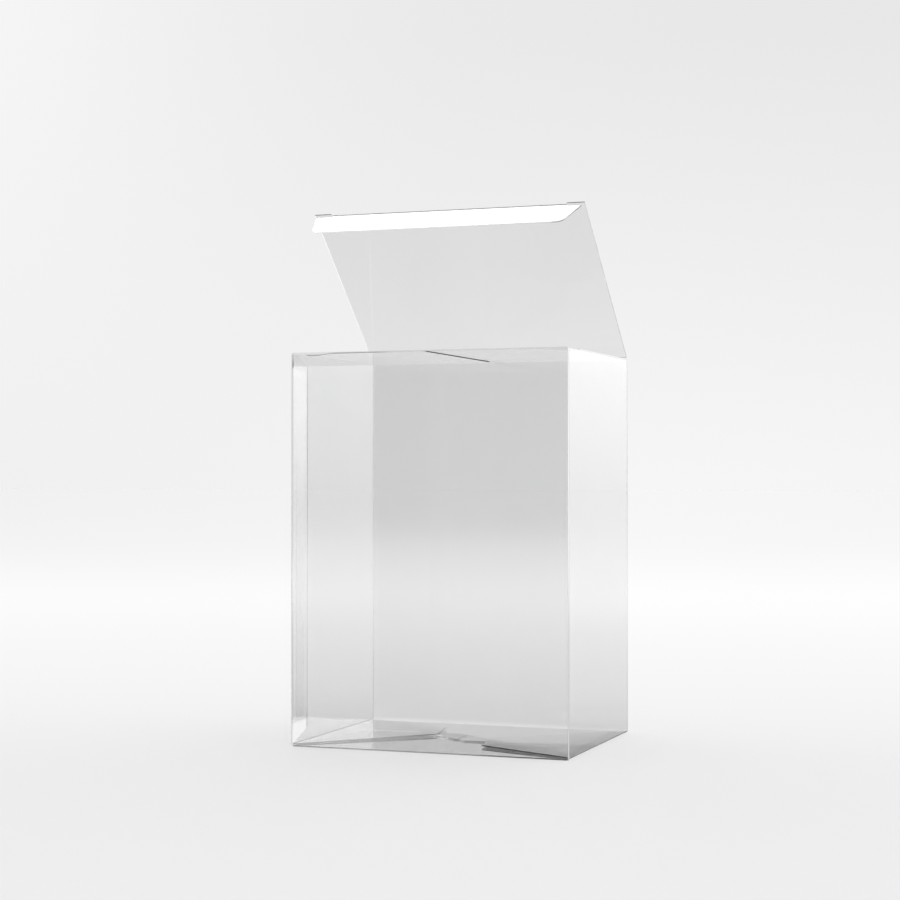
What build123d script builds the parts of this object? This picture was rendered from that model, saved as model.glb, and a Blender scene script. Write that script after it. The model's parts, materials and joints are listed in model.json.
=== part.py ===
from build123d import *
from math import atan, cos, radians, sin, sqrt, tan
import os

# Clear folding box with a tuck-in lid, two dust flaps and a crash-lock base.
# It is one creased blank of clear sheet, glued along the left side and at two base tabs.
# Millimetres. X runs along the front, Y from front to back, Z up.
# The origin is the middle of the footprint, on the surface that the box stands on.

# Driving dimensions
width = 110.0
depth = 82.0
height = 150.0
sheet = 0.4
bead = 0.4

# Angles at rest, in degrees: the lid above its closed place, the tuck flap below the lid's plane
lid_angle = 42.2
tuck_angle = 72.0

# Clearances
fold_gap = 0.3
swing_gap = 0.4
run_gap = 0.3
play = 0.4
glue_gap = 0.02
rest_gap = 0.05

# Side seam
glue_thickness = 0.06
glue_margin = 3.0
seam_width = 13.0
seam_lift = 1.2
seam_setback = 0.3
seam_taper = 20.0

# Lid and its tuck flap
lid_setback = 1.1
tuck_length = 16.6
tuck_inset = 1.0
tuck_draw = 3.7
tuck_corner = 3.5
tuck_shoulder = 0.5
slit_length = 7.0
slit_width = 0.2
ear_reach = 0.8

# Dust flaps
dust_gap = 4.0
dust_front_inset = 3.6
dust_back_inset = 0.8
dust_back_draw = 1.0
dust_relief = 5.0
dust_corner = 2.0

# Crash-lock base
base_taper = 13.5
lobe_reach = 9.0
lobe_drop = 4.8
hook_heel = 3.9
hook_out = 3.5
hook_play = 0.5
slit_gap = 0.5
tab_stop = 14.0
minor_nose = 20.4
minor_skew = 3.2
minor_tab_angle = 23.3
minor_free_angle = 44.0
minor_end = 1.0

# Middle planes of the walls, and the axes of the folds
side_x = width / 2 - sheet / 2
wall_y = depth / 2 - sheet / 2
seam_x = width / 2 - sheet * 3 / 2 - glue_thickness - 2 * glue_gap
flap_half_x = width / 2 - sheet - play
flap_half_y = depth / 2 - sheet - play
floor_z = sheet / 2
layer_step = sheet + glue_thickness + 2 * glue_gap
minor_z = floor_z + layer_step
rim_z = height - sheet - run_gap
dust_z = rim_z - sheet / 2
lid_z = height - sheet / 2
inner_x = width / 2 - sheet

os.makedirs("parts", exist_ok=True)


def save(piece, name):
    # One labelled file for each piece
    piece.part.label = name
    export_step(piece.part, f"parts/{name}.step")


def mirrored(points):
    # The same outline turned half a turn about the middle of the base
    return [(-x, -y) for x, y in points]


# Walls
def make_wall(name, plane, left, right, bottom, top):
    # A rectangular wall, thick to both sides of its middle plane
    with BuildPart() as wall:
        with BuildSketch(plane):
            with Locations(((left + right) / 2, (bottom + top) / 2)):
                Rectangle(right - left, top - bottom)
        extrude(amount=sheet / 2, both=True)
    save(wall, name)


def front_panel():
    make_wall(
        "front_panel",
        Plane.XZ.offset(wall_y),
        -seam_x + fold_gap,
        side_x - fold_gap,
        floor_z + fold_gap,
        rim_z,
    )


def back_panel():
    make_wall(
        "back_panel",
        Plane.XZ.offset(-wall_y),
        fold_gap - side_x,
        side_x - fold_gap,
        floor_z + fold_gap,
        lid_z - swing_gap,
    )


def right_panel():
    make_wall(
        "right_panel",
        Plane.YZ.offset(side_x),
        fold_gap - wall_y,
        wall_y - fold_gap,
        minor_z + fold_gap,
        dust_z - fold_gap,
    )


def left_panel():
    # Its front edge is the cut edge of the blank, lapped over the glue flap
    make_wall(
        "left_panel",
        Plane.YZ.offset(-side_x),
        seam_setback - depth / 2,
        wall_y - fold_gap,
        minor_z + fold_gap,
        dust_z - fold_gap,
    )


# Side seam
def glue_flap():
    # Folded back from the front panel, inside the left wall, with tapered ends
    root = fold_gap - wall_y
    tip = root + seam_width
    drop = seam_width * tan(radians(seam_taper))
    with BuildPart() as flap:
        with BuildSketch(Plane.YZ.offset(-seam_x)):
            with BuildLine():
                Polyline(
                    (root, seam_lift),
                    (tip, seam_lift + drop),
                    (tip, rim_z - drop),
                    (root, rim_z),
                    close=True,
                )
            make_face()
        extrude(amount=sheet / 2, both=True)
    save(flap, "glue_flap")


def seam_adhesive():
    # A line of clear glue between the glue flap and the left wall
    root = fold_gap - wall_y + glue_margin
    tip = fold_gap - wall_y + seam_width - glue_margin
    drop = seam_width * tan(radians(seam_taper)) + glue_margin
    with BuildPart() as glue:
        with BuildSketch(Plane.YZ.offset(-inner_x + glue_gap)):
            with Locations(((root + tip) / 2, (seam_lift + rim_z) / 2)):
                RectangleRounded(
                    tip - root, rim_z - seam_lift - 2 * drop, (tip - root) / 2 - glue_gap
                )
        extrude(amount=glue_thickness)
    save(glue, "seam_adhesive")


# Folds, each a pressed bead that joins two panels
def make_fold(name, start, end):
    start, end = Vector(start), Vector(end)
    with BuildPart() as fold:
        with BuildSketch(Plane(origin=start, z_dir=end - start)):
            Circle(bead / 2)
        extrude(amount=(end - start).length)
    save(fold, name)


def corner_folds():
    corners = {
        "front_left_fold": (-seam_x, -wall_y),
        "front_right_fold": (side_x, -wall_y),
        "back_right_fold": (side_x, wall_y),
        "back_left_fold": (-side_x, wall_y),
    }
    for name, (x, y) in corners.items():
        make_fold(name, (x, y, floor_z + fold_gap), (x, y, rim_z))


def base_folds():
    for name, y in (("front_base_fold", -wall_y), ("back_base_fold", wall_y)):
        make_fold(name, (-flap_half_x, y, floor_z), (flap_half_x, y, floor_z))
    for name, x in (("left_base_fold", -side_x), ("right_base_fold", side_x)):
        make_fold(name, (x, -flap_half_y, minor_z), (x, flap_half_y, minor_z))


def dust_folds():
    for name, x in (("left_dust_fold", -side_x), ("right_dust_fold", side_x)):
        make_fold(name, (x, dust_root_y, dust_z), (x, dust_back_y, dust_z))


# Crash-lock base. Every outline is the front one; the rear ones are turned half a turn.
def diagonal_x(y, offset):
    # A point on the 45 degree line from the front right corner, moved square to it by offset
    return side_x - wall_y - y + offset * sqrt(2)


root_y = fold_gap - wall_y
lobe_y = lobe_reach - lobe_drop
lobe_x = flap_half_x - (lobe_y - root_y) * tan(radians(base_taper))
hook_in = diagonal_x(-tab_stop, -fold_gap) - hook_heel
hook_slope = (lobe_reach + tab_stop) / (hook_in + hook_out)
riser_top = (tab_stop - lobe_reach - hook_play) / hook_slope - hook_in - hook_play
tab_x = flap_half_x - (wall_y - tab_stop) * tan(radians(base_taper))
tab_outline = [
    (flap_half_x, side_x - wall_y - flap_half_x + fold_gap * sqrt(2)),
    (tab_x, -tab_stop),
    (diagonal_x(-tab_stop, fold_gap), -tab_stop),
]


def riser_y(x):
    # The place along Y at which the hook's step crosses a place along X
    return lobe_reach - (x - riser_top) * hook_slope


def edge_y(x):
    # The sloping free edge of the hook
    return lobe_reach - (x + hook_out) * hook_slope


def make_major(name, turn):
    # A wide base flap: flat on the ground, with a hook that steps up over the other flap
    low = [
        (-flap_half_x, root_y),
        (diagonal_x(root_y, -fold_gap), root_y),
        (diagonal_x(-tab_stop, -fold_gap), -tab_stop),
        (hook_in, -tab_stop),
        (slit_gap / 2, edge_y(slit_gap / 2)),
        (slit_gap / 2, riser_y(slit_gap / 2)),
        (riser_top, lobe_reach),
        (-lobe_x, lobe_y),
    ]
    step_end = -slit_gap / 2 - sheet / 2
    step = [(riser_top, lobe_reach), (step_end, riser_y(step_end))]
    high = [
        (riser_top, lobe_reach),
        (-slit_gap / 2, riser_y(-slit_gap / 2)),
        (-slit_gap / 2, edge_y(-slit_gap / 2)),
        (-hook_out, lobe_reach),
    ]
    with BuildPart() as flap:
        with BuildSketch():
            with BuildLine():
                Polyline(*turn(low), close=True)
            make_face()
        extrude(amount=sheet)
        with BuildSketch(Plane.XY.offset(layer_step)):
            with BuildLine():
                Polyline(*turn(high), close=True)
            make_face()
        extrude(amount=sheet)
        with BuildSketch():
            with BuildLine():
                Polyline(*turn(step))
            trace(line_width=sheet)
        extrude(amount=layer_step + sheet)
    save(flap, name)


def make_tab(name, turn):
    # The corner of a wide flap, beyond its diagonal fold
    with BuildPart() as tab:
        with BuildSketch():
            with BuildLine():
                Polyline(*turn(tab_outline), close=True)
            make_face()
        extrude(amount=sheet)
    save(tab, name)


def make_tab_adhesive(name, turn):
    # Glue between a tab and the side flap above it
    with BuildPart() as glue:
        with BuildSketch(Plane.XY.offset(sheet + glue_gap)):
            with BuildLine():
                Polyline(*turn(tab_outline), close=True)
            make_face()
            offset(amount=-glue_margin, kind=Kind.INTERSECTION)
        extrude(amount=glue_thickness)
    save(glue, name)


def make_tab_fold(name, turn):
    near, far = turn([(diagonal_x(root_y, 0), root_y), (diagonal_x(-tab_stop, 0), -tab_stop)])
    make_fold(name, (*near, floor_z), (*far, floor_z))


def make_minor(name, side):
    # A side flap over the wide ones: it rises from its fold, and its tip lies on a hook.
    # On its plane X runs inward from the fold, and Y towards the corner of the glued tab.
    root_x = side_x - fold_gap
    root_half = flap_half_y - minor_end
    tab_slope = tan(radians(minor_tab_angle))
    free_slope = tan(radians(minor_free_angle))
    reach = (2 * root_half - minor_nose + minor_skew * tab_slope) / (tab_slope + free_slope)
    tab_reach = reach - minor_skew
    rise = atan((sheet + rest_gap) / (root_x + riser_top - sheet))
    flap_plane = Plane(
        origin=(side * root_x, 0, layer_step),
        x_dir=(-side * cos(rise), 0, sin(rise)),
        z_dir=(side * sin(rise), 0, cos(rise)),
    )
    with BuildPart() as flap:
        with BuildSketch(flap_plane):
            with BuildLine():
                Polyline(
                    (0, -root_half),
                    (0, root_half),
                    (tab_reach, root_half - tab_reach * tab_slope),
                    (reach, reach * free_slope - root_half),
                    close=True,
                )
            make_face()
        extrude(amount=sheet)
    save(flap, name)


def crash_lock_base():
    for name, turn in (("front", list), ("back", mirrored)):
        make_major(f"{name}_base_flap", turn)
        make_tab(f"{name}_glue_tab", turn)
        make_tab_fold(f"{name}_tab_fold", turn)
        make_tab_adhesive(f"{name}_tab_adhesive", turn)
    make_minor("right_base_flap", 1)
    make_minor("left_base_flap", -1)


# Dust flaps
dust_root_y = root_y + seam_width + fold_gap
dust_front_y = dust_front_inset - depth / 2 + sheet
dust_back_y = depth / 2 - sheet - dust_back_inset


def make_dust_flap(name, side):
    # Cut back beside its fold, so that it swings down past the glue flap
    root_x = inner_x - fold_gap / 2
    flare = dust_root_y - dust_front_y
    with BuildPart() as flap:
        with BuildSketch(Plane.XY.offset(rim_z - sheet)):
            with BuildLine():
                Polyline(
                    (side * root_x, dust_back_y),
                    (side * root_x, dust_root_y),
                    (side * (root_x - dust_relief), dust_root_y),
                    (side * (root_x - dust_relief - flare), dust_front_y),
                    (side * dust_gap / 2, dust_front_y),
                    (side * dust_gap / 2, dust_back_y - dust_back_draw),
                    close=True,
                )
            face = make_face()
            free_corners = face.vertices().group_by(Axis.X)[-1 if side < 0 else 0]
            fillet(free_corners, radius=dust_corner)
        extrude(amount=sheet)
    save(flap, name)


# Lid and tuck flap, drawn flat on their own planes as they stand at rest.
# On those planes Y runs away from the fold that carries the piece.
def fold_plane(y, z, angle):
    return Plane(
        origin=(0, y, z),
        x_dir=(1, 0, 0),
        z_dir=(0, -sin(radians(angle)), -cos(radians(angle))),
    )


lid_length = depth - sheet - lid_setback
lid_half = width / 2 - run_gap
slit_x = lid_half - slit_length
tuck_y = wall_y - lid_length * cos(radians(lid_angle))
tuck_z = lid_z + lid_length * sin(radians(lid_angle))


def lid_panel():
    # A plain panel with a small ear at each end of the tuck fold, left by the lock slits
    with BuildPart() as lid:
        with BuildSketch(fold_plane(wall_y, lid_z, lid_angle)):
            with BuildLine():
                Polyline(
                    (-lid_half, swing_gap),
                    (lid_half, swing_gap),
                    (lid_half, lid_length + ear_reach),
                    (slit_x + slit_width, lid_length + ear_reach),
                    (slit_x + slit_width, lid_length - swing_gap),
                    (-slit_x - slit_width, lid_length - swing_gap),
                    (-slit_x - slit_width, lid_length + ear_reach),
                    (-lid_half, lid_length + ear_reach),
                    close=True,
                )
            make_face()
        extrude(amount=sheet / 2, both=True)
    save(lid, "lid_panel")


def lid_fold():
    make_fold("lid_fold", (-lid_half, wall_y, lid_z), (lid_half, wall_y, lid_z))


def tuck_fold():
    make_fold("tuck_fold", (-slit_x, tuck_y, tuck_z), (slit_x, tuck_y, tuck_z))


def tuck_flap():
    # Wide at its shoulders, drawn in and rounded at its free edge
    shoulder_x = lid_half - tuck_inset
    edge_x = shoulder_x - tuck_draw
    shoulder = ear_reach + run_gap
    with BuildPart() as flap:
        with BuildSketch(fold_plane(tuck_y, tuck_z, lid_angle - tuck_angle)):
            with BuildLine():
                Polyline(
                    (-slit_x, swing_gap),
                    (slit_x, swing_gap),
                    (slit_x, shoulder),
                    (shoulder_x, shoulder + tuck_shoulder),
                    (edge_x, tuck_length),
                    (-edge_x, tuck_length),
                    (-shoulder_x, shoulder + tuck_shoulder),
                    (-slit_x, shoulder),
                    close=True,
                )
            face = make_face()
            fillet(far_corners(face), radius=tuck_corner)
        extrude(amount=sheet / 2, both=True)
    save(flap, "tuck_flap")


def far_corners(face):
    return face.vertices().group_by(Axis.Y)[-1]


front_panel()
right_panel()
back_panel()
left_panel()
glue_flap()
seam_adhesive()
corner_folds()
base_folds()
crash_lock_base()
dust_folds()
make_dust_flap("left_dust_flap", -1)
make_dust_flap("right_dust_flap", 1)
lid_panel()
lid_fold()
tuck_flap()
tuck_fold()
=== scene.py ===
import json
from math import cos, radians, sin

import bpy
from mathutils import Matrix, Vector

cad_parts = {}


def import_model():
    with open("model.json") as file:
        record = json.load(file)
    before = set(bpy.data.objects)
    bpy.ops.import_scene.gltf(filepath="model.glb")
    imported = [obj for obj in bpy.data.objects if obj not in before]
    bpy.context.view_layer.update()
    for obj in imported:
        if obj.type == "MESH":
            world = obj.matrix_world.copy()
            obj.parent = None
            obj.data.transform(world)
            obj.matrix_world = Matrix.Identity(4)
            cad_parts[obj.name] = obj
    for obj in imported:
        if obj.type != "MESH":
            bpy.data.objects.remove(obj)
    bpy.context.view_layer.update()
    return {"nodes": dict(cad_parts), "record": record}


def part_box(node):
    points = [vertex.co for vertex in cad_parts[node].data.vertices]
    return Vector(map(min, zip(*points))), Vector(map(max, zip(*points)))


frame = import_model()

# The looks of the clear folding box: clear sheet, creases and glue, on a pale floor in soft light.
# Metres, in the frame of the CAD model: X along the front, Y to the back, Z up.
ACROSS = (1.0, 0.0, 0.0)
BACKWARD = (0.0, 1.0, 0.0)
UPWARD = (0.0, 0.0, 1.0)
MILLIMETRES = 1000

# Camera, fitted to the corners of the photographed box
SENSOR = 0.036
FOCAL = 0.0784
CAMERA_AT = (0.2576, -0.7198, 0.1029)
CAMERA_YAW = 20.09
CAMERA_PITCH = 0.73
CLIP_NEAR = 0.01
CLIP_FAR = 100.0

# The three kinds of clear plastic: how much they bend light, the roughness between and on their
# scuffs, the scale of the scuffs, and the scale and depth of their waves or grain
SHEET = dict(ior=1.7, roughness=(0.0, 0.03), scuff_scale=90.0, wave_scale=14.0, wave_depth=0.00004)
FOLD = dict(ior=1.3, roughness=(0.02, 0.12), scuff_scale=900.0, wave_scale=900.0, wave_depth=0.00001)
GLUE = dict(ior=1.5, roughness=(0.03, 0.10), scuff_scale=260.0, wave_scale=260.0, wave_depth=0.00008)
SCUFF_DETAIL = 6.0
SCUFF_SPAN = (0.45, 0.8)
WAVE_DETAIL = 1.0
FOLD_GLOSS = 1.0
GLOSS_IOR = 1.9
GLOSS_ROUGHNESS = 0.06

# Tints. The seam flap and the left, right and back base flaps are clearer copies of the sheet, as
# painted light; the front base flap is a darker copy, as painted shade.
SHEET_CLEAR = (0.935, 0.937, 0.937, 1.0)
SEAM_PAINTED_LIGHT = (1.0, 1.0, 0.998, 1.0)
FRONT_BASE_PAINTED_SHADE = (0.74, 0.742, 0.742, 1.0)
LEFT_BASE_PAINTED_LIGHT = (0.99, 0.992, 0.992, 1.0)
UPPER_BASE_PAINTED_LIGHT = (0.998, 1.0, 1.0, 1.0)
FOLD_CLEAR = (0.99, 0.992, 0.992, 1.0)
# The tuck crease is tinted near black, as a painted dark crease line
TUCK_FOLD_PAINTED_DARK = (0.05, 0.051, 0.051, 1.0)
GLUE_CLEAR = (1.0, 1.0, 0.995, 1.0)

# What a lamp's light keeps at each face of the plastic
LAMP_CLEAR = (0.95, 0.951, 0.951, 1.0)

# Painted light and shade: once a ray has bounced more often than a given number of times, the piece
# shows a fixed glowing grey in place of the light that would run along inside it and out at its cut
# edges. Each is the number of bounces and the grey. Where the grey changes along the piece, it is the
# way along the piece and pairs of place and grey, from 0 at the start of the piece to 1 at its end.
INWARD = (0.236, 1.0, 0.0)
WALL_PAINTED_GREY = (16.0, 0.72)
LID_PAINTED_GREY = (12.0, 0.05)
TUCK_PAINTED_GREY = (4.0, (ACROSS, ((0.905, 0.85), (0.935, 0.0))))
LEFT_DUST_PAINTED_GREY = (6.0, (ACROSS, ((0.45, 0.5), (0.55, 0.88))))
RIGHT_DUST_PAINTED_GREY = (7.0, 0.88)
LEFT_BASE_PAINTED_GREY = (6.0, (ACROSS, ((0.35, 0.55), (0.75, 0.1))))
RIGHT_BASE_PAINTED_GREY = (3.0, (INWARD, ((0.38, 0.0), (0.44, 0.6))))
FRONT_BASE_PAINTED_GREY = (7.0, (ACROSS, ((0.6, 0.35), (0.75, 0.0))))
BACK_BASE_PAINTED_GREY = (6.0, 0.3)
TAB_PAINTED_GREY = (12.0, 0.4)

# The same painted greys for creases, which count from fewer bounces on: painted shade that darkens
# some creases to dark lines, and painted highlights along others
FRONT_FOLD_PAINTED_GREY = (3.0, (ACROSS, ((0.6, 0.65), (0.75, 0.0))))
RIGHT_FOLD_PAINTED_GREY = (0.5, 0.08)
LEFT_FOLD_PAINTED_GREY = (0.5, 0.1)
BACK_FOLD_PAINTED_GREY = (0.5, (ACROSS, ((0.0, 0.75), (1.0, 0.95))))
FRONT_CORNER_PAINTED_GREY = (0.5, (UPWARD, ((0.3, 0.6), (0.45, 0.95))))
LEFT_CORNER_PAINTED_GREY = (0.5, (UPWARD, (
    (0.0, 0.8), (0.05, 0.8), (0.065, 0.5), (0.3, 0.55), (0.42, 0.95), (0.5, 0.6), (0.9, 0.62),
    (0.958, 0.7), (0.965, 0.05), (0.974, 0.12), (0.985, 0.45),
)))
BACK_CORNER_PAINTED_GREY = (0.5, (UPWARD, (
    (0.05, 0.74), (0.2, 0.78), (0.4, 0.9), (0.6, 0.93), (0.7, 1.12),
)))

# Where the right base flap bends up from its crease and rests on the hook, its tint is darkened as
# painted shade
OVER_HOOK = (-0.18, 1.0, 0.0)
RIGHT_BASE_PAINTED_SHADE = (
    (ACROSS, ((0.85, 1.0), (0.92, 0.4))),
    (OVER_HOOK, ((0.05, 1.0), (0.11, 0.4), (0.24, 0.4), (0.31, 1.0), (0.35, 1.0))),
)

# Painted highlights on parts of a sheet: their glowing grey, and its share along one or more ways
PAINTED_HIGHLIGHT_GREY = 1.12
SEAM_PAINTED_HIGHLIGHT = (
    (UPWARD, (
        (0.044, 0.6), (0.05, 0.6), (0.056, 0.0), (0.06, 0.0), (0.5, 0.0), (0.7, 0.1), (0.93, 0.65),
        (0.955, 0.65), (0.962, 0.0), (0.97, 0.0),
    )),
    (BACKWARD, ((0.85, 1.0), (0.88, 1.0), (0.92, 0.0), (0.97, 0.0))),
)
BACK_PAINTED_HIGHLIGHT = (
    (UPWARD, ((0.004, 0.2), (0.006, 0.2), (0.009, 0.0), (0.011, 0.0))),
)

# Cut faces with a painted grey, from black to glowing, in place of the light and shade they show: the
# way they face, the grey, and the way to the half of the piece that they are in, if only one. The seam
# flap's lower one is seen from inside the sheet.
CUT_COSINE = 0.95
MIDDLE = 0.5
SEAM_CUT = ((0.0, -0.34, 0.94), 0.8, None)
LEFT_DUST_CUT = (ACROSS, 0.08, ACROSS)
RIGHT_BASE_CUT = ((-0.4, -0.917, 0.0), 0.0, None)

# Studio. The backdrop is paler or darker by its place across the view, at the horizon and above.
FLOOR_HALF = 12.0
FLOOR_DROP = 0.0002
FLOOR_START = 0.15
VIEW_RIGHT = (cos(radians(CAMERA_YAW)), sin(radians(CAMERA_YAW)), 0.0)
VIEW_AHEAD = (-sin(radians(CAMERA_YAW)), cos(radians(CAMERA_YAW)), 0.0)
SPREAD = 0.25
TOP_HEIGHT = 0.22
HORIZON_GREYS = ((0.04, 0.872), (0.35, 0.888), (0.6, 0.915), (0.7, 0.925), (0.95, 0.912))
HORIZON_MIDDLE = 0.905
TOP_GREYS = ((0.04, 0.93), (0.25, 0.86), (0.5, 0.815), (0.95, 0.80))
FLOOR_GREYS = (
    (0.0, 0.86), (0.07, 0.872), (0.12, 0.885), (0.18, 0.905), (0.25, 0.925), (0.33, 0.94),
    (0.42, 0.965), (0.5, 0.99), (0.56, 0.975), (0.62, 0.95), (0.7, 0.925), (0.85, 0.91), (1.0, 0.905),
)

# What the sheet mirrors: the floor from far in front to far behind, a dark room in front, a bright
# wall on the right that grows brighter upwards, and the backdrop
MIRROR_GREYS = (
    (0.09, 0.04), (0.13, 0.12), (0.17, 0.42), (0.21, 0.5), (0.26, 0.62), (0.31, 0.5), (0.36, 0.4),
    (0.41, 0.24), (0.46, 0.15), (0.5, 0.22), (0.53, 0.6), (0.57, 0.74), (0.67, 0.85), (0.73, 1.03),
    (1.0, 1.03),
)
MIRROR_SHEETS = (2.0, 4.0)
MIRROR_GAIN = 1.16
ROOM_GREY = 0.04
SIDE_GREY = 1.06
SIDE_RISE = 4.9
SIDE_MOST = 1.8
SIDE_EDGES = (0.05, 0.25)
BACK_EDGES = (-0.2, 0.3)
BACK_SHARE = 0.88
FAR_SHARE = 0.87
LEFT_FLOOR = (-0.12, 0.0)
NEAR_FLOOR = (0.2, 0.6)

# Light: an even white sky, brighter from behind, and a softbox that the tuck flap mirrors
WHITE = (1.0, 1.0, 1.0, 1.0)
LIGHT_FROM = (0.1, 0.995, 0.0)
LIGHT_LEAN = 0.95
SOFTBOX_WAY = (-0.345, 0.569, 0.746)
SOFTBOX_REACH = 1.3
SOFTBOX_SIZE = 0.45
SOFTBOX_POWER = 1.1

# Many clear faces lie behind each other, so rays need many bounces
CLEAR_BOUNCES = 64
GLOSS_BOUNCES = 32
LAMP_BOUNCES = 48


# Node helpers
def new_material(name):
    # A material, its empty tree, and the socket that its surface goes into
    material = bpy.data.materials.new(name)
    material.use_nodes = True
    tree = material.node_tree
    tree.nodes.clear()
    return material, tree, add(tree, "ShaderNodeOutputMaterial").inputs["Surface"]


def add(tree, kind, **sockets):
    node = tree.nodes.new(kind)
    for name, value in sockets.items():
        node.inputs[name.replace("_", " ")].default_value = value
    return node


def join(tree, source, target):
    tree.links.new(source, target)


def coordinates(tree, kind):
    return add(tree, "ShaderNodeTexCoord").outputs[kind]


def light_path(tree):
    return add(tree, "ShaderNodeLightPath").outputs


def noise(tree, place, scale, detail):
    node = add(tree, "ShaderNodeTexNoise", Scale=scale, Detail=detail)
    join(tree, place, node.inputs["Vector"])
    return node.outputs["Fac"]


def mapped(tree, value, low, high, start=0.0, end=1.0):
    node = add(tree, "ShaderNodeMapRange", From_Min=start, From_Max=end, To_Min=low, To_Max=high)
    join(tree, value, node.inputs["Value"])
    return node.outputs["Result"]


def feed(tree, value, socket):
    # A number is set on the socket, and anything else is linked to it
    if isinstance(value, float):
        socket.default_value = value
    else:
        join(tree, value, socket)


def maths(tree, operation, first, second, clamp=False):
    node = tree.nodes.new("ShaderNodeMath")
    node.operation = operation
    node.use_clamp = clamp
    feed(tree, first, node.inputs[0])
    feed(tree, second, node.inputs[1])
    return node.outputs["Value"]


def along(tree, vector, direction):
    # How far a vector reaches along a fixed direction
    node = tree.nodes.new("ShaderNodeVectorMath")
    node.operation = "DOT_PRODUCT"
    node.inputs[1].default_value = direction
    join(tree, vector, node.inputs[0])
    return node.outputs["Value"]


def greys(tree, value, stops):
    # A smooth run of greys, from pairs of place and grey; a last grey given twice stays level
    node = tree.nodes.new("ShaderNodeValToRGB")
    node.color_ramp.interpolation = "B_SPLINE"
    spots = node.color_ramp.elements
    while len(spots) < len(stops):
        spots.new(1.0)
    for spot, (place, grey) in zip(spots, stops):
        spot.position = place
        spot.color = (grey, grey, grey, 1.0)
    join(tree, value, node.inputs["Fac"])
    return node.outputs["Color"]


def by_place(tree, span, runs):
    # The product of runs of greys, each along its own way through the piece
    product = 1.0
    for way, stops in runs:
        product = maths(tree, "MULTIPLY", product, greys(tree, along(tree, span, way), stops))
    return product


def blend(tree, share, first, second):
    # A mix of two greys
    node = tree.nodes.new("ShaderNodeMix")
    feed(tree, share, node.inputs["Factor"])
    feed(tree, first, node.inputs["A"])
    feed(tree, second, node.inputs["B"])
    return node.outputs["Result"]


def mixed(tree, share, first, second):
    # A mix of two shaders
    node = tree.nodes.new("ShaderNodeMixShader")
    join(tree, share, node.inputs["Fac"])
    join(tree, first, node.inputs[1])
    join(tree, second, node.inputs[2])
    return node.outputs["Shader"]


def glowing(tree, grey):
    # A fixed grey, whatever the light
    return add(tree, "ShaderNodeEmission", Color=(grey, grey, grey, 1.0)).outputs["Emission"]


def mirror_rays(tree):
    # 1 for rays that a surface has mirrored, directly or before they passed through another
    rays = light_path(tree)
    seen = maths(tree, "SUBTRACT", rays["Glossy Depth"], rays["Diffuse Depth"], clamp=True)
    return maths(tree, "MINIMUM", seen, 1.0)


def mirror_gain(tree):
    # The tint is for what is seen straight through, so what is mirrored behind a sheet regains some
    return mapped(tree, light_path(tree)["Transmission Depth"], 1.0, MIRROR_GAIN, *MIRROR_SHEETS)


# Clear plastic
def scuffed_plastic(tree, tint, gloss, ior, roughness, scuff_scale, wave_scale, wave_depth):
    # Glass-like, a little wavy, with scuffs that dull it
    plastic = add(
        tree, "ShaderNodeBsdfPrincipled", Base_Color=tint, IOR=ior, Transmission_Weight=1.0,
        Coat_Weight=gloss, Coat_IOR=GLOSS_IOR, Coat_Roughness=GLOSS_ROUGHNESS,
    )
    place = coordinates(tree, "Object")
    scuffs = noise(tree, place, scuff_scale, SCUFF_DETAIL)
    join(tree, mapped(tree, scuffs, *roughness, *SCUFF_SPAN), plastic.inputs["Roughness"])
    bump = add(tree, "ShaderNodeBump", Strength=1.0, Distance=wave_depth)
    join(tree, noise(tree, place, wave_scale, WAVE_DETAIL), bump.inputs["Height"])
    join(tree, bump.outputs["Normal"], plastic.inputs["Normal"])
    return plastic


def painted_deep_grey(tree, seen, span, depth, shade):
    # Once a ray has bounced often, the piece shows a painted glowing grey in place of the light that
    # would run along inside it
    if isinstance(shade, float):
        painted_glow = glowing(tree, shade)
    else:
        way, stops = shade
        glow = add(tree, "ShaderNodeEmission")
        join(tree, greys(tree, along(tree, span, way), stops), glow.inputs["Color"])
        painted_glow = glow.outputs["Emission"]
    deep = maths(tree, "GREATER_THAN", light_path(tree)["Ray Depth"], depth)
    return mixed(tree, deep, seen, painted_glow)


def cut_face(tree, seen, span, way, grey, half):
    # A cut face of the sheet, told by the way it faces, shows a painted grey in place of its light and
    # shade
    share = maths(tree, "GREATER_THAN", along(tree, coordinates(tree, "Normal"), way), CUT_COSINE)
    if half:
        there = maths(tree, "GREATER_THAN", along(tree, span, half), MIDDLE)
        share = maths(tree, "MULTIPLY", share, there)
    return mixed(tree, share, seen, glowing(tree, grey))


def painted_highlight(tree, seen, span, runs):
    # A part of the sheet, told by its place, gets a painted highlight, a glowing grey; it shows in no
    # other sheet
    share = maths(tree, "SUBTRACT", by_place(tree, span, runs), mirror_rays(tree), clamp=True)
    return mixed(tree, share, seen, glowing(tree, PAINTED_HIGHLIGHT_GREY))


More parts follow.
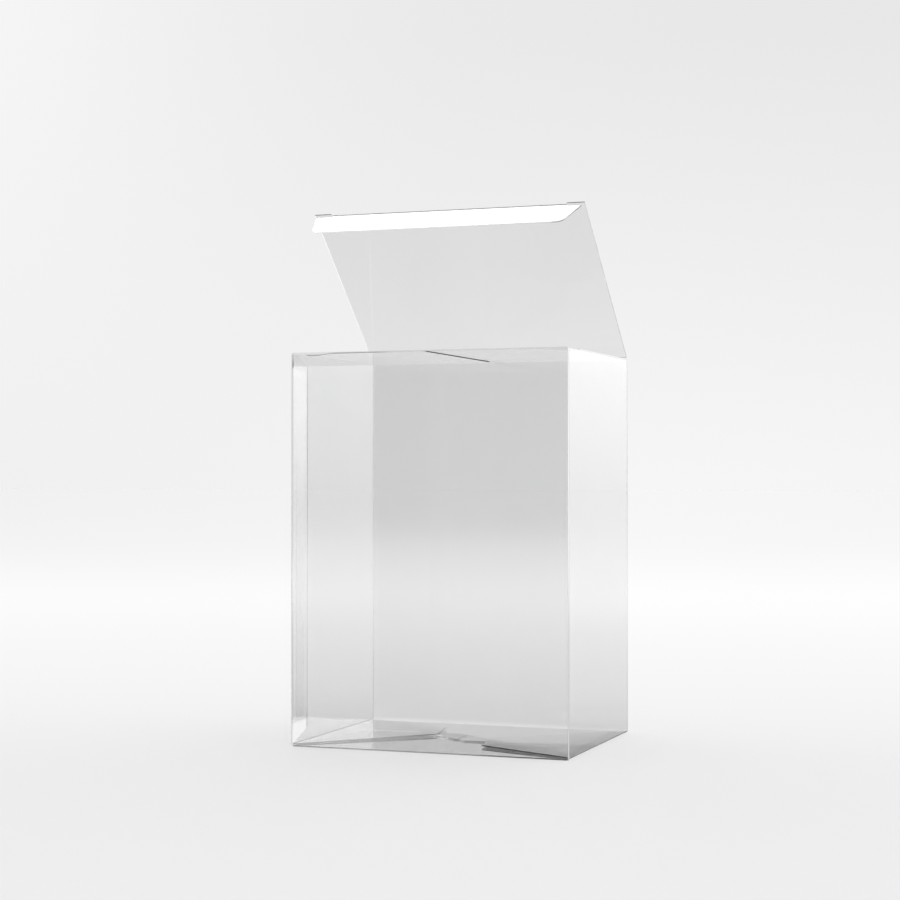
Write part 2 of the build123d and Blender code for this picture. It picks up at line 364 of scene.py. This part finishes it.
def clear_material(name, kind, tint, painted_grey, gloss=0.0, cut=None, bends=(), pale=()):
    # One of the kinds of clear plastic, with the painted greys, painted shade and painted highlights
    # that show on it by place; lamps shine through it
    material, tree, surface = new_material(name)
    span = coordinates(tree, "Generated")
    plastic = scuffed_plastic(tree, tint, gloss, **kind)
    # Painted shade by place darkens the tint
    if bends:
        join(tree, by_place(tree, span, bends), plastic.inputs["Base Color"])
    seen = painted_deep_grey(tree, plastic.outputs["BSDF"], span, *painted_grey)
    if cut:
        seen = cut_face(tree, seen, span, *cut)
    # pale holds the painted highlights by place
    if pale:
        seen = painted_highlight(tree, seen, span, pale)
    through = add(tree, "ShaderNodeBsdfTransparent", Color=LAMP_CLEAR)
    rays = light_path(tree)
    lamp_rays = maths(tree, "MAXIMUM", rays["Is Shadow Ray"], rays["Diffuse Depth"], clamp=True)
    join(tree, mixed(tree, lamp_rays, seen, through.outputs["BSDF"]), surface)
    return material


def sheet_material(name, painted_grey, tint=SHEET_CLEAR, **extra):
    return clear_material(name, SHEET, tint, painted_grey, **extra)


def fold_material(name, painted_grey, tint=FOLD_CLEAR, gloss=FOLD_GLOSS):
    return clear_material(name, FOLD, tint, painted_grey, gloss)


def wall_materials():
    wall = sheet_material("clear_wall", WALL_PAINTED_GREY)
    return {
        "front_panel": wall,
        "left_panel": wall,
        "right_panel": wall,
        "back_panel": sheet_material("clear_back", WALL_PAINTED_GREY, pale=BACK_PAINTED_HIGHLIGHT),
        "glue_flap": sheet_material("clear_seam", WALL_PAINTED_GREY, SEAM_PAINTED_LIGHT, cut=SEAM_CUT, pale=SEAM_PAINTED_HIGHLIGHT),
        "front_left_fold": fold_material("clear_left_corner", LEFT_CORNER_PAINTED_GREY, gloss=0.0),
        "front_right_fold": fold_material("clear_front_corner", FRONT_CORNER_PAINTED_GREY),
        "back_left_fold": fold_material("clear_back_corner", BACK_CORNER_PAINTED_GREY, gloss=0.0),
    }


def lid_materials():
    return {
        "lid_panel": sheet_material("clear_lid", LID_PAINTED_GREY),
        "tuck_flap": sheet_material("clear_tuck", TUCK_PAINTED_GREY),
        "tuck_fold": fold_material("clear_tuck_fold", WALL_PAINTED_GREY, TUCK_FOLD_PAINTED_DARK, gloss=0.0),
        "left_dust_flap": sheet_material("clear_left_dust", LEFT_DUST_PAINTED_GREY, cut=LEFT_DUST_CUT),
        "right_dust_flap": sheet_material("clear_right_dust", RIGHT_DUST_PAINTED_GREY),
    }


def base_materials():
    tab = sheet_material("clear_tab", TAB_PAINTED_GREY)
    return {
        "front_glue_tab": tab,
        "back_glue_tab": tab,
        "left_base_flap": sheet_material("clear_left_base", LEFT_BASE_PAINTED_GREY, LEFT_BASE_PAINTED_LIGHT),
        "right_base_flap": sheet_material(
            "clear_right_base", RIGHT_BASE_PAINTED_GREY, UPPER_BASE_PAINTED_LIGHT, cut=RIGHT_BASE_CUT,
            bends=RIGHT_BASE_PAINTED_SHADE,
        ),
        "front_base_flap": sheet_material("clear_front_base", FRONT_BASE_PAINTED_GREY, FRONT_BASE_PAINTED_SHADE),
        "back_base_flap": sheet_material("clear_back_base", BACK_BASE_PAINTED_GREY, UPPER_BASE_PAINTED_LIGHT),
        "left_base_fold": fold_material("clear_left_fold", LEFT_FOLD_PAINTED_GREY, gloss=0.0),
        "right_base_fold": fold_material("clear_right_fold", RIGHT_FOLD_PAINTED_GREY, gloss=0.0),
        "front_base_fold": fold_material("clear_front_fold", FRONT_FOLD_PAINTED_GREY),
        "back_base_fold": fold_material("clear_back_fold", BACK_FOLD_PAINTED_GREY),
    }


def dress():
    # Every sheet and some creases have a material of their own; the others take that of their slot
    own = {**wall_materials(), **lid_materials(), **base_materials()}
    common = {
        "clear_fold": fold_material("clear_fold", WALL_PAINTED_GREY),
        "clear_adhesive": clear_material("clear_adhesive", GLUE, GLUE_CLEAR, TAB_PAINTED_GREY),
    }
    for part in frame["record"]["subparts"]:
        node = frame["nodes"][part["node"]]
        node.data.materials.clear()
        node.data.materials.append(own.get(part["node"]) or common[part["material_slot"]])


# Studio
def across_view(tree, direction):
    # From 0 on the left of the view to 1 on its right
    return mapped(tree, along(tree, direction, VIEW_RIGHT), 0.0, 1.0, -SPREAD, SPREAD)


def floor_grey(tree, place):
    # Pale, with a band of painted light some way behind the box; far off it meets the backdrop
    ahead = maths(tree, "ADD", along(tree, place, VIEW_AHEAD), FLOOR_START)
    ahead = maths(tree, "MAXIMUM", ahead, 0.0)
    far = maths(tree, "DIVIDE", ahead, maths(tree, "ADD", ahead, 1.0))
    unit = tree.nodes.new("ShaderNodeVectorMath")
    unit.operation = "NORMALIZE"
    join(tree, place, unit.inputs[0])
    edge = greys(tree, across_view(tree, unit.outputs["Vector"]), HORIZON_GREYS)
    shift = maths(tree, "MULTIPLY", maths(tree, "SUBTRACT", edge, HORIZON_MIDDLE), far)
    return maths(tree, "ADD", greys(tree, far, FLOOR_GREYS), shift)


def mirrored_floor(tree, place):
    # What the sheet mirrors of the floor, a little darker far behind on the left
    back = along(tree, place, BACKWARD)
    reach = maths(tree, "ADD", maths(tree, "ABSOLUTE", back, 0.0), 1.0)
    depth = mapped(tree, maths(tree, "DIVIDE", back, reach), 0.0, 1.0, -1.0, 1.0)
    right = mapped(tree, along(tree, place, ACROSS), FAR_SHARE, 1.0, *LEFT_FLOOR)
    near = mapped(tree, back, 1.0, 0.0, *NEAR_FLOOR)
    share = maths(tree, "MAXIMUM", right, near)
    mirrored = add(tree, "ShaderNodeEmission")
    join(tree, greys(tree, depth, MIRROR_GREYS), mirrored.inputs["Color"])
    join(tree, maths(tree, "MULTIPLY", share, mirror_gain(tree)), mirrored.inputs["Strength"])
    return mirrored.outputs["Emission"]


def floor_material():
    material, tree, surface = new_material("studio_floor")
    place = coordinates(tree, "Object")
    matt = add(tree, "ShaderNodeBsdfDiffuse")
    join(tree, floor_grey(tree, place), matt.inputs["Color"])
    both = mixed(tree, mirror_rays(tree), matt.outputs["BSDF"], mirrored_floor(tree, place))
    join(tree, both, surface)
    return material


def floor():
    mesh = bpy.data.meshes.new("studio_floor")
    s = FLOOR_HALF
    corners = [(-s, -s, -FLOOR_DROP), (s, -s, -FLOOR_DROP), (s, s, -FLOOR_DROP), (-s, s, -FLOOR_DROP)]
    mesh.from_pydata(corners, [], [(0, 1, 2, 3)])
    mesh.materials.append(floor_material())
    plane = bpy.data.objects.new("studio_floor", mesh)
    bpy.context.scene.collection.objects.link(plane)


def backdrop(tree, direction, height):
    # What the camera sees behind the box, straight or through the sheet
    across = across_view(tree, direction)
    low = greys(tree, across, HORIZON_GREYS)
    high = greys(tree, across, TOP_GREYS)
    return blend(tree, mapped(tree, height, 0.0, 1.0, 0.0, TOP_HEIGHT), low, high)


def mirrored_room(tree, direction, height, pale):
    # What the sheet mirrors: the backdrop, a bright wall on the right, and a dark room in front
    side = maths(tree, "ADD", maths(tree, "MULTIPLY", height, SIDE_RISE), SIDE_GREY)
    side = maths(tree, "MINIMUM", side, SIDE_MOST)
    back = maths(tree, "MULTIPLY", pale, BACK_SHARE)
    right = mapped(tree, along(tree, direction, ACROSS), 0.0, 1.0, *SIDE_EDGES)
    behind = mapped(tree, along(tree, direction, BACKWARD), 0.0, 1.0, *BACK_EDGES)
    room = blend(tree, behind, ROOM_GREY, blend(tree, right, back, side))
    return maths(tree, "MULTIPLY", room, mirror_gain(tree))


def world():
    # White light for what is lit; for what is seen, a pale backdrop and what the sheet mirrors
    sky = bpy.data.worlds.new("studio")
    sky.use_nodes = True
    sky.cycles.sampling_method = "NONE"
    tree = sky.node_tree
    tree.nodes.clear()
    direction = coordinates(tree, "Generated")
    lit = add(tree, "ShaderNodeBackground", Color=WHITE)
    lean = maths(tree, "MULTIPLY", along(tree, direction, LIGHT_FROM), LIGHT_LEAN)
    join(tree, maths(tree, "ADD", lean, 1.0), lit.inputs["Strength"])
    height = along(tree, direction, UPWARD)
    pale = backdrop(tree, direction, height)
    mirrored = mirrored_room(tree, direction, height, pale)
    seen = add(tree, "ShaderNodeBackground")
    join(tree, blend(tree, mirror_rays(tree), pale, mirrored), seen.inputs["Color"])
    rays = light_path(tree)
    looks = maths(tree, "MAXIMUM", rays["Is Camera Ray"], rays["Is Transmission Ray"])
    looks = maths(tree, "MAXIMUM", looks, rays["Is Glossy Ray"])
    looks = maths(tree, "SUBTRACT", looks, rays["Diffuse Depth"], clamp=True)
    both = mixed(tree, looks, lit.outputs["Background"], seen.outputs["Background"])
    join(tree, both, add(tree, "ShaderNodeOutputWorld").inputs["Surface"])
    bpy.context.scene.world = sky


def softbox():
    # A square lamp that the tuck flap mirrors; the camera doesn't see it, and it lights nothing matt
    tuck_low, tuck_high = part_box("tuck_flap")
    middle = (tuck_low + tuck_high) / 2
    way = Vector(SOFTBOX_WAY).normalized()
    lamp = bpy.data.lights.new("back_softbox", "AREA")
    lamp.shape = "SQUARE"
    lamp.size = SOFTBOX_SIZE
    lamp.energy = SOFTBOX_POWER
    lamp.use_nodes = True
    tree = lamp.node_tree
    tree.nodes.clear()
    glow = add(tree, "ShaderNodeEmission")
    unlit = maths(tree, "SUBTRACT", 1.0, light_path(tree)["Diffuse Depth"], clamp=True)
    join(tree, unlit, glow.inputs["Strength"])
    join(tree, glow.outputs["Emission"], add(tree, "ShaderNodeOutputLight").inputs["Surface"])
    holder = bpy.data.objects.new("back_softbox", lamp)
    holder.location = middle + way * SOFTBOX_REACH
    holder.rotation_euler = way.to_track_quat("Z", "Y").to_euler()
    holder.visible_camera = False
    holder.visible_diffuse = False
    bpy.context.scene.collection.objects.link(holder)


def camera():
    lens = bpy.data.cameras.new("camera")
    lens.sensor_width = SENSOR * MILLIMETRES
    lens.lens = FOCAL * MILLIMETRES
    lens.clip_start = CLIP_NEAR
    lens.clip_end = CLIP_FAR
    holder = bpy.data.objects.new("camera", lens)
    holder.location = CAMERA_AT
    holder.rotation_euler = (radians(90 + CAMERA_PITCH), 0.0, radians(CAMERA_YAW))
    bpy.context.scene.collection.objects.link(holder)
    bpy.context.scene.camera = holder


def bounces():
    cycles = bpy.context.scene.cycles
    cycles.max_bounces = CLEAR_BOUNCES
    cycles.transmission_bounces = CLEAR_BOUNCES
    cycles.glossy_bounces = GLOSS_BOUNCES
    cycles.transparent_max_bounces = LAMP_BOUNCES


bpy.context.scene.view_settings.view_transform = "Standard"
dress()
floor()
world()
softbox()
camera()
bounces()
